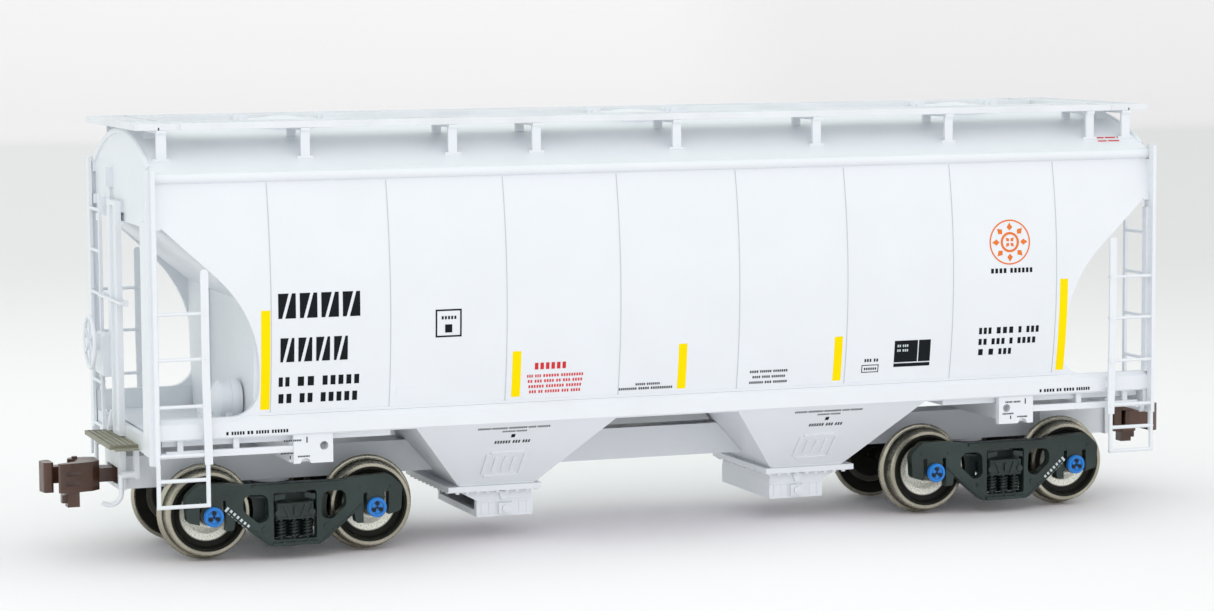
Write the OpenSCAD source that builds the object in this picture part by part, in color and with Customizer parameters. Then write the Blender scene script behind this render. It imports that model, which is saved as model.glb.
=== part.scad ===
// HO scale two-bay covered hopper car with curved sides, round roof hatches and roller-bearing trucks.
// X runs along the car with the hand brake at -X, Y across it, and Z = 0 is the bottom of the wheel flanges.

/* [Body] */
// Half the length of the body over its corner posts
body_half = 66.4; // [64:0.1:68]
// Half the body width at its widest line
waist_half = 18.55; // [18:0.05:19]
// Height of the widest line
waist_z = 32.1; // [31:0.1:33]
// Half the body width at the eave
eave_half = 17; // [16.8:0.05:17.2]
// Height of the eave, where the side sheets meet the roof
eave_z = 46.4; // [45.5:0.1:47]
// Height of the roof at the centre line
roof_z = 52.4; // [52:0.1:52.6]
// Top of the side sill
sill_z = 18.5; // [18:0.1:19]
// Thickness of the moulded sheets
sheet_t = 0.9; // [0.6:0.05:1.1]

/* [Bays] */
// Distance of each hopper bay from the middle of the car
bay_x = 21.1; // [20.8:0.1:21.6]
// Half the length of a bay where it meets the body
bay_top = 12.95; // [12.6:0.05:13.2]
// Half the length of a bay at its outlet flange
bay_bottom = 5; // [4.8:0.1:5.6]
// Height of the outlet flange's underside
flange_z = 6.5; // [6.2:0.1:6.8]

/* [Trucks] */
// Distance of each truck's centre from the middle of the car
truck_x = 48.06; // [47:0.02:49]
// Distance between the two axles of a truck
wheelbase = 20.41; // [20:0.01:21]
// Diameter of the wheel tread
tread_d = 10.49; // [10.3:0.01:10.6]
// Depth of the wheel flange
flange_h = 0.64; // [0.5:0.01:0.7]
// Distance between the backs of the two wheels on an axle
back_to_back = 14.4; // [14.3:0.05:14.5]

/* [Ends] */
// Height of the couplers' centre line
coupler_z = 10.1; // [9.9:0.1:10.3]
// Distance of each coupler's pivot from the middle of the car
coupler_x = 61.6; // [61:0.1:62]
// Distance of the ladders' face from the centre line
ladder_y = 18.55; // [18.4:0.05:18.8]
// Heights of the ladder rungs
rungs = [14.4, 20.2, 25.8, 31.2]; // [14:0.1:32]
// Diameter of the moulded wire parts
wire_d = 0.42; // [0.3:0.02:0.6]

/* [Roof] */
// Top of the roof walks
walk_z = 53.5; // [53:0.1:53.5]
// Thickness of the roof walks
walk_t = 0.8; // [0.6:0.1:0.9]
// Distances of the roof hatches from the middle of the car
hatches = [-46, 0.3, 46]; // [-48:0.1:48]
// Radius of a hatch lid
lid_r = 4.7; // [4.4:0.1:5]

/* [Hidden] */
$fn = 48;

white = [0.93, 0.95, 0.98];
truck_green = [0.22, 0.3, 0.28];
nickel = [0.66, 0.64, 0.56];
coupler_brown = [0.36, 0.24, 0.18];

// Radius of the curved side sheets, through the waist and the eave
side_r = (pow(eave_z - waist_z, 2) + pow(waist_half - eave_half, 2)) / (2 * (waist_half - eave_half));
side_cy = waist_half - side_r;
// The roof is an arc that springs from the top chords
spring_z = eave_z + 1.4;
spring_y = eave_half - 0.2;
roof_r = (pow(spring_y, 2) + pow(roof_z - spring_z, 2)) / (2 * (roof_z - spring_z));
roof_cz = roof_z - roof_r;
chord_in = spring_y - 0.6;
// The end walls' inner and outer planes
wall_in = body_half - 1.2;
wall_out = body_half - 0.4;
wall_z = 41.1;
// Underframe levels
deck_z = 16;
sill_top = 12.6;
sill_bottom = 8.6;
sill_half = 2.4;
bay_y_top = 17.3;
bay_y_bottom = 8.8;
bay_z = 7.2;
axle_z = tread_d / 2 + flange_h;
lift = 0.02;

// ---- Helpers ----

// Extrudes an outline drawn in X and Z from y0 to y1
module across(y0, y1) translate([0, y1, 0]) rotate([90, 0, 0]) linear_extrude(y1 - y0) children();

// Extrudes an outline drawn in Y and Z from x0 to x1
module along(x0, x1) translate([x0, 0, 0]) rotate([90, 0, 90]) linear_extrude(x1 - x0) children();

// Puts a part drawn for the A end and the far side at end sx and side sy
module place(sx, sy = 1) mirror([sx < 0 ? 1 : 0, 0, 0]) mirror([0, sy < 0 ? 1 : 0, 0]) children();

module both_sides() for (s = [-1, 1]) mirror([0, s < 0 ? 1 : 0, 0]) children();
module both_ways() for (s = [-1, 1]) mirror([s < 0 ? 1 : 0, 0, 0]) children();

// A box from one corner to the other
module block(a, b) translate(a) cube(b - a);

// Rods along each axis
module rod_x(r, x0, x1, y, z) translate([x0, y, z]) rotate([0, 90, 0]) cylinder(r = r, h = x1 - x0);
module rod_y(r, y0, y1, x, z) translate([x, y0, z]) rotate([-90, 0, 0]) cylinder(r = r, h = y1 - y0);
module rod_z(r, z0, z1, x, y) translate([x, y, z0]) cylinder(r = r, h = z1 - z0);

// A quarter bend or longer arc of wire about a line along Y, angles from +X towards +Z
module bend_xz(r, wire_r, x, y, z, a0, sweep)
    translate([x, y, z]) rotate([90, 0, 0]) rotate([0, 0, a0])
        rotate_extrude(angle = sweep) translate([r, 0]) circle(wire_r, $fn = 24);

// Points along an arc about c
function arc(c, r, a0, a1, n = 12) =
    [for (i = [0:n]) c + r * [cos(a0 + (a1 - a0) * i / n), sin(a0 + (a1 - a0) * i / n)]];

function unit(v) = v / norm(v);

// Replaces a corner q between p and s with an arc of radius r
function fillet(p, q, s, r, n = 6) =
    let (u = unit(p - q), v = unit(s - q), half = acos(u * v) / 2,
         c = q + unit(u + v) * r / sin(half),
         a = q + u * r / tan(half) - c, b = q + v * r / tan(half) - c,
         a0 = atan2(a.y, a.x), turn = atan2(b.y, b.x) - a0,
         sweep = turn > 180 ? turn - 360 : (turn < -180 ? turn + 360 : turn))
    [for (i = [0:n]) c + r * [cos(a0 + sweep * i / n), sin(a0 + sweep * i / n)]];

// An outline from [x, y, corner radius] points
function rounded(pts) = [for (i = [0:len(pts) - 1])
    let (m = len(pts), p = pts[(i + m - 1) % m], q = pts[i], s = pts[(i + 1) % m])
    each (q[2] == 0 ? [[q.x, q.y]] : fillet([p.x, p.y], [q.x, q.y], [s.x, s.y], q[2]))];

// ---- Body shell ----

module side_cylinder(t)
    translate([-80, side_cy, waist_z]) rotate([0, 90, 0]) cylinder(r = side_r - t, h = 160, $fn = 360);

module roof_cylinder(t)
    translate([-80, 0, roof_cz]) rotate([0, 90, 0]) cylinder(r = roof_r - t, h = 160, $fn = 240);

// Everything between the two curved sides, t inside their outer faces
module between_sides(t) intersection() {
    side_cylinder(t);
    mirror([0, 1, 0]) side_cylinder(t);
}

// The swept cut-away at the end of a side sheet: a straight cut, a long arc and a fillet into the sill
cut_angle = 42.8;
cut_x = 53.6;
cut_r = 16;
cut_foot_r = 3.3;
cut_top = [body_half - 0.4, 42.05];
cut_corner_z = cut_top.y - (cut_top.x - cut_x) * tan(cut_angle);
cut_arc_z = cut_corner_z - cut_r * tan(45 - cut_angle / 2);

module end_cut() polygon(concat(
    [[80, cut_top.y + (80 - cut_top.x) * tan(cut_angle)]],
    arc([cut_x + cut_r, cut_arc_z], cut_r, 90 + cut_angle, 180),
    arc([cut_x + cut_foot_r, sill_z + cut_foot_r], cut_foot_r, 180, 270),
    [[80, sill_z]]));

module side_sheet() color(white) intersection() {
    difference() {
        side_cylinder(0);
        side_cylinder(sheet_t);
    }
    across(10, 25) difference() {
        translate([-wall_in, sill_z]) square([2 * wall_in, eave_z - sill_z]);
        end_cut();
        mirror([1, 0]) end_cut();
    }
}

// A half-round bead along each eave, with the rail that carries the roof
module top_chord() {
    block([-body_half, chord_in, eave_z], [body_half, eave_half, spring_z]);
    intersection() {
        rod_x(0.6, -body_half, body_half, eave_half, eave_z + 0.7);
        block([-80, eave_half, eave_z], [80, 20, spring_z]);
    }
}

module coaming(x) difference() {
    rod_z(lid_r - 0.3, roof_z - 2, roof_z + 0.35, x, 0);
    rod_z(lid_r - 1, roof_z - 3, roof_z + 1, x, 0);
    roof_cylinder(0);
}

module roof_sheet() color(white) {
    intersection() {
        difference() {
            roof_cylinder(0);
            roof_cylinder(sheet_t);
        }
        block([-wall_in, -20, spring_z], [wall_in, 20, roof_z + 1]);
    }
    both_sides() top_chord();
    for (x = hatches) coaming(x);
}

module hatch_lids() color(white) for (x = hatches) {
    rod_z(lid_r, roof_z + 0.35, roof_z + 0.85, x, 0);
    translate([x, 0, roof_z + 0.85]) rotate_extrude()
        polygon(concat([[0, 0]], arc([0, -11], 11.4, 70, 90, 6)));
    for (s = [-1, 1]) translate([x, 0, 0]) difference() {
        union() {
            block([s * 5.35 - 0.85, -1.3, roof_z - 0.5], [s * 5.35 + 0.85, -0.7, roof_z + 1.5]);
            block([s * 5.35 - 0.85, 0.7, roof_z - 0.5], [s * 5.35 + 0.85, 1.3, roof_z + 1.5]);
            rod_y(0.35, -1.6, 1.6, s * 5.35, roof_z + 0.95);
            block([s * 5 - 0.6, -0.7, roof_z + 0.5], [s * 5 + 0.6, 0.7, roof_z + 1.2]);
        }
        translate([-x, 0, 0]) roof_cylinder(0);
    }
}

module end_wall() color(white) {
    intersection() {
        between_sides(0);
        block([wall_in, -20, wall_z], [wall_out, 20, eave_z]);
    }
    intersection() {
        roof_cylinder(0);
        union() {
            block([wall_in, -chord_in, eave_z], [wall_out, chord_in, spring_z]);
            block([wall_in, -spring_y, spring_z], [wall_out, spring_y, roof_z + 1]);
        }
    }
    // Rolled rim around the arch
    arch = asin(spring_y / roof_r) - 2.3;
    translate([wall_out, 0, roof_cz]) rotate([90, 0, 90]) rotate([0, 0, 90 - arch])
        rotate_extrude(angle = 2 * arch) translate([roof_r - 0.2, 0]) circle(0.38, $fn = 24);
}

// ---- Floors of the load space ----

floor_slope = (wall_z - deck_z) / (wall_in - bay_x - bay_top);
floor_t = sheet_t * sqrt(1 + floor_slope * floor_slope);
function floor_at(x) = deck_z + (x - bay_x - bay_top) * floor_slope;

module slope_sheet() color(white) intersection() {
    between_sides(sheet_t);
    across(-20, 20) polygon([
        [bay_x + bay_top, deck_z], [wall_in, wall_z], [wall_in, wall_z + floor_t],
        [bay_x + bay_top - floor_t / floor_slope, deck_z]]);
    union() {
        block([0, -20, sill_z], [80, 20, 60]);
        block([0, -16.2, 0], [80, 16.2, sill_z]);
    }
}

module centre_ridge() color(white) intersection() {
    between_sides(sheet_t);
    across(-16.2, 16.2) difference() {
        polygon([[-(bay_x - bay_top), deck_z], [0, deck_z + 8.2], [bay_x - bay_top, deck_z]]);
        polygon([
            [-(bay_x - bay_top) + 1.3, deck_z - 1], [0, deck_z + 6.2], [bay_x - bay_top - 1.3, deck_z - 1]]);
    }
}

module side_sill() color(white) along(-body_half, body_half) polygon([
    [16.3, deck_z], [17.55, deck_z], [17.75, deck_z + 0.2], [17.75, sill_z - 0.55],
    [17.2, sill_z], [16.3, sill_z]]);

// ---- Hopper bays ----

function bay_half(z) = bay_bottom + (bay_top - bay_bottom) * (z - bay_z) / (deck_z - bay_z);

module funnel(inset) hull() {
    translate([bay_x - bay_top + inset, -bay_y_top + inset, deck_z - 0.01])
        cube([2 * (bay_top - inset), 2 * (bay_y_top - inset), 0.01]);
    translate([bay_x - bay_bottom + inset, -bay_y_bottom + inset, bay_z])
        cube([2 * (bay_bottom - inset), 2 * (bay_y_bottom - inset), 0.01]);
}

module hopper() color(white) difference() {
    funnel(0);
    translate([0, 0, lift]) funnel(sheet_t);
    translate([0, 0, -lift]) funnel(sheet_t);
}

outlet_x = bay_x - 1.2;
outlet_half = 3.7;
outlet_y = 8.2;
module outlet() color(white) difference() {
    union() {
        block([bay_x - 5.8, -9.3, flange_z], [bay_x + 6.5, 9.3, bay_z]);
        // Bolt heads under the flange's edge
        for (i = [0:8], s = [-1, 1]) {
            rod_z(0.28, flange_z - 0.25, flange_z, bay_x - 5.2 + i * 1.3, s * 8.9);
        }
        for (i = [0:9], x = [-5.4, 6.1]) rod_z(0.28, flange_z - 0.25, flange_z, bay_x + x, -7.65 + i * 1.7);
        // Neck that narrows to the gate box
        across(-outlet_y, outlet_y) polygon([
            [bay_x - 4.7, flange_z], [bay_x + 4.9, flange_z],
            [outlet_x + outlet_half, 5.2], [outlet_x - outlet_half, 5.2]]);
        block([outlet_x - outlet_half, -outlet_y, 3.1], [outlet_x + outlet_half, outlet_y, 5.2]);
        // Gate rack housing along the box
        block([outlet_x - 0.9, -outlet_y - 0.5, 3.4], [outlet_x + 0.9, outlet_y + 0.5, 4.8]);
    }
    // Load space down to the gate
    block([bay_x - 3.3, -7.3, 3.9], [bay_x + 2.5, 7.3, bay_z + 1]);
}

// ---- Underframe ----

module centre_sill() color(white) across(-sill_half, sill_half) {
    low = bay_x - bay_half(sill_bottom) - 2 * lift;
    high = bay_x - bay_half(sill_top) - 2 * lift;
    polygon([[-high, sill_top], [high, sill_top], [low, sill_bottom], [-low, sill_bottom]]);
}

module ballast() color([0.45, 0.46, 0.48]) across(-sill_half, sill_half) polygon([
    [-10.3, sill_top + 0.5], [10.3, sill_top + 0.5], [8, deck_z - 0.1], [5.6, deck_z - 0.1],
    [4.2, deck_z + 1.2], [-4.2, deck_z + 1.2], [-5.6, deck_z - 0.1], [-8, deck_z - 0.1]]);

web_x = cut_x - 0.9;
plate_y = 16.55;
module bolster_web() color(white) {
    // Shear plate over the truck
    block([bay_x + bay_top + 3, -16.3, deck_z - 0.8], [wall_in, 16.3, deck_z]);
    // Upright web under the slope sheet
    intersection() {
        between_sides(sheet_t);
        across(-20, 20) polygon([[web_x, deck_z], [web_x + 0.8, deck_z],
            [web_x + 0.8, floor_at(web_x + 0.8)], [web_x, floor_at(web_x)]]);
        union() {
            block([0, -20, sill_z], [80, 20, 60]);
            block([0, -16.2, 0], [80, 16.2, sill_z]);
        }
    }
    // Stiffening panel on each half of its outer face
    both_sides() intersection() {
        between_sides(sheet_t);
        across(7.8, 20) polygon([[web_x + 0.8, deck_z], [web_x + 1.4, deck_z],
            [web_x + 1.4, floor_at(web_x + 1.4)], [web_x + 0.8, floor_at(web_x + 0.8)]]);
        union() {
            block([0, -20, sill_z], [80, 20, 60]);
            block([0, -16.2, 0], [80, 16.2, sill_z]);
        }
    }
    // Body bolster, with a pierced pull plate at each end of it
    block([truck_x - 1.7, -plate_y, sill_top], [truck_x + 1.7, plate_y, deck_z - 0.8]);
    both_sides() difference() {
        block([truck_x - 3.5, plate_y, 12.5], [truck_x + 1.4, plate_y + 0.9, deck_z]);
        rod_y(0.52, plate_y - 1, plate_y + 2, truck_x - 2.4, 14.55);
        rod_y(0.62, plate_y - 1, plate_y + 2, truck_x - 0.1, 12.5);
    }
    // Rail below the side sill
    both_sides() {
        block([truck_x + 1.4, plate_y, 13.9], [wall_in - 0.3, plate_y + 0.7, 14.7]);
        for (x = [56, 62.8]) block([x, plate_y, 14.7], [x + 0.7, plate_y + 0.5, deck_z]);
    }
}

// Stub sill with the coupler pocket, its cover screw and the striker
module stub_sill() color(white) {
    pocket = 3.9;
    difference() {
        union() {
            start = bay_x + bay_half(sill_bottom) + 2 * lift;
            across(-sill_half, sill_half) polygon([
                [start, sill_bottom], [57.5, sill_bottom], [57.5, sill_top],
                [bay_x + bay_half(sill_top) + 2 * lift, sill_top]]);
            block([57.5, -pocket, sill_bottom], [body_half + 1.1, pocket, sill_top]);
            block([body_half + 0.7, -4.4, sill_bottom - 0.1], [body_half + 1.5, 4.4, sill_top + 1.2]);
        }
        // Pocket and mouth
        block([58.6, -3.1, 9.05], [body_half, 3.1, 11.15]);
        block([body_half - 1, -3.1, 9.05], [body_half + 2, 3.1, 11.15]);
    }
    // Pivot post through the pocket
    rod_z(0.75, 9.05, 11.15, coupler_x, 0);
    // Centre plate that rests on the truck
    rod_z(2.4, 8.22, sill_bottom, truck_x, 0);
    // Cover screw
    difference() {
        rod_z(1, 8.2, sill_bottom, coupler_x, 0);
        block([coupler_x - 1.5, -0.12, 8], [coupler_x + 1.5, 0.12, 8.35]);
    }
}

module end_frame() color(white) {
    // End sill, a channel with its web outside
    block([wall_in + 0.4, -17.5, 13.9], [body_half, 17.5, deck_z]);
    block([wall_in - 0.3, -17.5, 13.9], [wall_in + 0.4, 17.5, 14.5]);
    both_sides() {
        // Corner post
        block([wall_out, 16.7, sill_z], [body_half + 0.1, 17.75, eave_z]);
        block([wall_out - 0.3, 16.7, sill_z], [wall_out, 17.75, wall_z - 1]);
        // Gusset from the post to the end wall
        block([wall_out, 15.2, 42.4], [body_half, 16.7, 43.6]);
    }
}

// ---- Ladders ----

stile_x = 60.2;
end_rungs = [14.4, 20, 25.6, 31.2, 36.6, 41.8];
post_x = body_half + 0.1;
module corner_ladder(ends) color(white) {
    r = wire_d / 2;
    y = ladder_y;
    // Side ladder: an inner stile with a rounded top, an outer stile and four rungs
    across(y, y + 0.35) polygon(rounded([
        [stile_x - 0.55, 13.2, 0], [stile_x + 0.4, 13.2, 0], [stile_x + 0.6, 24, 0],
        [stile_x + 0.6, 36.4, 0.4], [stile_x - 0.35, 36.4, 0.4], [stile_x - 0.35, 24, 0]]));
    block([stile_x - 0.4, 17.75, 16.6], [stile_x + 0.4, y, 17.6]);
    block([post_x - 0.48, 17.75, 13.2], [post_x, y + 0.35, 48.2]);
    for (z = rungs) rod_y(0.28, y - 0.4, y + 0.45, stile_x, z);
    for (z = rungs) rod_x(r, stile_x, post_x - 0.2, y + 0.05, z);
    // Stirrup below the sill
    for (x = [stile_x, post_x - 0.32]) rod_z(r + 0.06, 8.3, 13.4, x, y + 0.05);
    for (z = [8.3, 11.4]) rod_x(r + 0.03, stile_x - r, post_x - 0.3 + r, y + 0.05, z);
    if (ends) {
        // End ladder beside the corner post
        block([post_x, 16.2, 13.2], [post_x + 0.4, 17.9, 48.2]);
        block([post_x + 0.1, 9.9, 13.2], [post_x + 0.5, 10.5, 44]);
        for (z = end_rungs) rod_y(r, 10.2, 16.5, post_x + 0.25, z);
        for (z = [15, 43])
            block([z > 20 ? wall_out : body_half, 9.9, z - 0.5], [post_x + 0.1, 10.5, z + 0.5]);
    } else {
        // Corner plate where there is no end ladder
        block([post_x, 14.4, 14.2], [post_x + 0.5, 17.2, 42]);
        block([post_x, 17.2, 13.2], [post_x + 0.5, 18, 48.2]);
    }
}

// ---- Roof walks ----

walk_in = 8;
walk_out = 14.9;
walk_end = 62;
module walk() color(white) {
    z = walk_z - walk_t;
    for (y = [walk_in, (walk_in + walk_out - 0.5) / 2, walk_out - 0.5])
        block([-walk_end, y, z], [walk_end, y + 0.5, walk_z]);
    block([-walk_end, walk_in, z + 0.25], [walk_end, walk_out, walk_z - 0.15]);
}

module end_walk() color(white) {
    z = walk_z - walk_t;
    for (x = [walk_end + lift, 64.4, 66.9]) block([x, -walk_out, z], [x + 0.5, walk_out, walk_z]);
    block([walk_end + lift, -walk_out, z + 0.25], [67.4, walk_out, walk_z - 0.15]);
}

bracket_x = [-46.7, -28.2, -17.4, 1.1, 20.1, 38.6, 59];
module bracket(x, w) difference() {
    top = walk_z - walk_t - lift;
    union() {
        block([x - w / 2, 7.6, top - 0.35], [x + w / 2, walk_out, top]);
        block([x - w / 2, walk_out - 0.7, roof_cz], [x + w / 2, walk_out - 0.25, top]);
        block([x - w / 2 - 0.45, walk_out - 0.7, roof_cz], [x + w / 2 + 0.45, walk_out - 0.25, 49.3]);
        block([x - w / 2, 7.6, roof_cz], [x + w / 2, 8.1, top]);
    }
    roof_cylinder(0);
}
module walk_brackets() color(white) both_sides() {
    for (x = bracket_x) bracket(x, 1.1);
    for (s = [-1, 1]) bracket(s * 64.25, 1.2);
}

// ---- Hand brake and air brake ----

wheel_y = 7.6;
wheel_z = 25.6;
module brake_stand() color(white) {
    x = -body_half;
    // Channel column from the end sill to the end wall
    difference() {
        block([x - 0.7, -0.9, 14.7], [x, 3.3, 43.6]);
        block([x - 1, -0.3, 15.2], [x - 0.35, 2.8, 43]);
    }
    block([x, -0.7, 42.2], [-wall_out, 3.1, 43.4]);
    // Bracing strip beside it
    block([x - 0.3, 4.2, 26.4], [x, 6.4, 43.6]);
    block([x, 4.3, 42], [-wall_out, 6.3, 42.3]);
    block([x - 0.3, 3.3, 27.2], [x, 5, 28.4]);
    // Gear housing with its shaft bearing
    difference() {
        union() {
            block([x - 0.4, 3.3, 22.4], [x, 5.6, 26.2]);
            across(5.2, 9.8) polygon(rounded([
                [x - 1.4, 21.4, 0.5], [x, 21.4, 0], [x, 26.8, 0.6], [x - 1.4, 26.8, 0.7]]));
            rod_x(1, x - 1.9, x - 1, wheel_y, wheel_z);
        }
        rod_x(0.4, x - 3, x - 0.8, wheel_y, wheel_z);
    }
    // Bell crank, and the chain that runs down beside it
    across(4, 4.6) polygon([[x - 1.2, 14.9], [x - 0.2, 14.9], [x - 0.2, 17.4], [x - 0.7, 17.4]]);
    block([x - 0.9, 3.7, 15.4], [x, 4.8, 16.4]);
    rod_z(0.22, 19.2, 21.6, x - 0.7, 9);
    for (i = [0:2]) rod_z(0.36, 19.4 + i * 0.8, 19.8 + i * 0.8, x - 0.7, 9);
    // Retainer valve on the end wall and its pipe
    block([x - 0.5, 5.5, 45], [-wall_out, 6.5, 47.4]);
    rod_z(0.18, 43, 45.1, x + 0.1, 6.05);
    block([x - 0.1, 5.4, 42.4], [-wall_out, 6.4, 43.2]);
    // Long horizontal handhold
    for (y = [-3.8, 9.2]) rod_x(0.26, x - 1, x, y, 31.3);
    rod_y(0.2, -4, 9.4, x - 0.84, 31.3);
    block([x - 0.42, 5.4, 30.95], [x, 9.6, 31.65]);
    block([x - 0.42, -4.3, 30.95], [x, 0, 31.65]);
}

module brake_wheel() color(white) {
    x = -body_half - 2.5;
    translate([x, wheel_y, wheel_z]) rotate([0, 90, 0]) {
        rotate_extrude() translate([3.2, 0]) circle(0.25, $fn = 24);
        for (a = [0:60:300]) rotate([0, 0, a]) translate([0.3, -0.14, -0.13]) cube([2.8, 0.28, 0.26]);
        translate([0, 0, -0.45]) cylinder(r = 0.6, h = 0.9);
        cylinder(r = 0.34, h = 1.5);
    }
}

module brake_platform() color([0.49, 0.49, 0.41]) {
    x = -body_half;
    z = 14.4;
    for (i = [0:3]) block([x - 3.5 + i * 0.85, -8.4, z], [x - 2.95 + i * 0.85, 7, z + 0.25]);
    for (y = [-8.4, -3.4, 1.6, 6.6]) block([x - 3.5, y, z - 0.3], [x, y + 0.4, z]);
    block([x - 0.3, -10.2, z - 0.3], [x - 0.05, -8.4, z]);
}

module air_gear() color(white) {
    // Brake cylinder along the B end deck, its dome outwards, on a saddle and under a band
    rod_x(2.3, -56.9, -54.3, -10, 19.8);
    translate([-56.9, -10, 19.8]) rotate([0, -90, 0]) rotate_extrude()
        polygon(concat([[0, 0]], arc([0, -2.2], 3.183, 43.7, 90, 8)));
    block([-56.3, -11.8, deck_z], [-54.6, -8.2, 18.4]);
    difference() {
        rod_x(2.6, -55.6, -54.8, -10, 19.8);
        rod_x(2.2, -56, -54.5, -10, 19.8);
    }
    // Control valve towards the corner, with its pipes
    block([-60.2, -14.6, deck_z], [-58.9, -13, 18.5]);
    rod_z(0.7, 18.5, 19.3, -59.55, -13.8);
    rod_y(0.55, -15.4, -14.6, -59.55, 17.6);
    rod_x(0.25, -65, -60.2, -13.8, 18);
    rod_y(0.25, -13, -11.4, -59.4, 17.2);
    rod_x(0.25, -59.4, -56.2, -11.4, 17.2);
    block([-65.15, -14.1, deck_z], [-64.4, -13.5, 18.2]);
}

// Cut lever and air hose at one end, drawn for +X
module end_fitting_set() {
    x = body_half;
    r = 0.2;
    // Cut lever along the end sill, from its handle to the coupler
    rod_y(r, -16.4, -4.6, x + 0.75, 13);
    for (y = [-15.2, -8.2]) block([x, y, 12.8], [x + 0.95, y + 0.35, 14.1]);
    rod_z(r, 10.4, 13, x + 0.75, -16.4);
    // Air hose hung beside the striker
    rod_x(0.45, x, x + 1.6, 5.6, 10.6);
    rod_z(0.3, 8.4, 10.6, x + 1.6, 5.6);
    bend_xz(1.4, 0.3, x + 3, 5.6, 8.4, 180, 130);
    block([x - 0.6, 5.1, 10.1], [x, 6.1, 13.9]);
}
module end_fittings() color(white) {
    end_fitting_set();
    rotate([0, 0, 180]) end_fitting_set();
}

// ---- Couplers ----

head_z = [coupler_z - 1.75, coupler_z + 1.85];
knuckle_pin = [72.3, 1.55];
module coupler() color(coupler_brown) mirror([0, 1, 0]) {
    difference() {
        union() {
            // Shank
            block([coupler_x - 1.8, -1.3, coupler_z - 0.85], [70.2, 1.3, coupler_z + 0.85]);
            // Head with its guard arm
            translate([0, 0, head_z[0]]) linear_extrude(head_z[1] - head_z[0]) polygon(rounded([
                [69.8, -1.3, 0], [70.8, -2.3, 0.3], [73.6, -3.1, 0.4], [74.9, -3.3, 0.3], [75.1, -2.5, 0.2],
                [72.7, -1.2, 0.3], [72.4, 0.4, 0.2], [70.9, 0.6, 0.2], [70.7, 2.4, 0], [69.8, 2, 0]]));
            // Ears that hold the knuckle
            for (z = [head_z[0], head_z[1] - 0.7]) translate([0, 0, z]) linear_extrude(0.7) polygon(rounded([
                [70.5, 0.4, 0], [72.4, 0.4, 0], [73.3, 1.2, 0.2], [72.9, 2.5, 0.5], [70.7, 2.5, 0.2]]));
            // Lock lifter below the head
            block([72.5, -2.5, 6.5], [74, -0.9, head_z[0]]);
            block([73.8, -2.2, 7], [74.6, -1.1, 8]);
            // Knuckle pin
            rod_z(0.36, head_z[0] + 0.2, head_z[1] + 0.25, knuckle_pin.x, knuckle_pin.y);
        }
        rod_z(0.82, coupler_z - 2, coupler_z + 2, coupler_x, 0);
        // Recesses in the side of the head
        block([71.6, -3.6, coupler_z - 0.9], [74.2, -2.75, coupler_z - 0.3]);
        block([71.6, -3.6, coupler_z + 0.3], [74.2, -2.75, coupler_z + 0.9]);
    }
}

module knuckle() color(coupler_brown) mirror([0, 1, 0]) difference() {
    union() {
        translate([0, 0, head_z[0] + 0.78]) linear_extrude(head_z[1] - head_z[0] - 1.56) polygon(rounded([
            [71.7, 0.95, 0.2], [73.2, 0.75, 0], [75.2, 0.5, 0], [75.6, 0, 0],
            [76, 1.8, 0.3], [75.2, 2.5, 0.4], [72, 2.4, 0.4], [71.4, 2.1, 0.2]]));
        // Face of the knuckle, as tall as the head
        translate([0, 0, head_z[0] - 0.15]) linear_extrude(head_z[1] - head_z[0] + 0.1) polygon(rounded([
            [75.3, -0.9, 0.3], [76.5, -0.9, 0.4], [76.8, 1.4, 0.6], [75.5, 2.3, 0.4]]));
    }
    rod_z(0.42, 0, 20, knuckle_pin.x, knuckle_pin.y);
}

// ---- Trucks ----

frame_in = 11;
frame_out = 12.4;
journal_r = 0.55;
axle_half = wheelbase / 2;

// Outline of half a side frame, from the centre outwards
frame_half = rounded([
    [0, 9.5, 0], [5.6, 9.45, 0], [9.2, 9.85, 0], [11.9, 9.9, 1.2], [13.6, 8.4, 1.2], [13.4, 5.3, 0.6],
    [11.9, 4.9, 0.2], [11.2, 4.2, 0], [8.55, 4, 0.1], [7.65, 4, 0.4], [7.45, 5.3, 0.1], [7.05, 5.3, 0.1],
    [6.9, 4.8, 0], [3.9, 2.3, 0.8], [3.05, 1.75, 0.4], [0, 1.75, 0]]);
frame_hole = rounded([[3.25, 5, 0.9], [3.4, 8.2, 0.9], [6.4, 8.25, 0.9], [6.5, 6.4, 0.9], [4.6, 4.7, 0.7]]);

module side_frame() color(truck_green) difference() {
    union() {
        across(frame_in, frame_out) difference() {
            both_halves() polygon(frame_half);
            both_halves() polygon(frame_hole);
            polygon(rounded([[-2.7, 2.55, 0.3], [2.7, 2.55, 0.3], [2.7, 8.45, 0.3], [-2.7, 8.45, 0.3]]));
            // Pedestal openings beside and under each bearing
            both_halves() translate([axle_half, 0]) difference() {
                polygon(rounded([[-1.6, 3, 0], [-1.6, 7.95, 0.3], [1.65, 7.95, 0.3], [1.65, 3, 0]]));
                translate([0, axle_z]) circle(1.25);
                translate([-1.1, axle_z]) square([2.2, 2.2]);
            }
        }
        // Raised ribs along the top and bottom members
        across(frame_out, frame_out + 0.3) both_halves() {
            polygon([[0, 9.4], [5.4, 9.36], [5.4, 9.1], [0, 9.1]]);
            polygon([[0, 1.85], [2.8, 1.85], [2.8, 2.2], [0, 2.2]]);
        }
    }
    for (s = [-1, 1]) rod_y(journal_r + 0.06, frame_in - 1, frame_out + 1, s * axle_half, axle_z);
}
module both_halves() for (s = [0, 1]) mirror([s, 0]) children();

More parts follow.
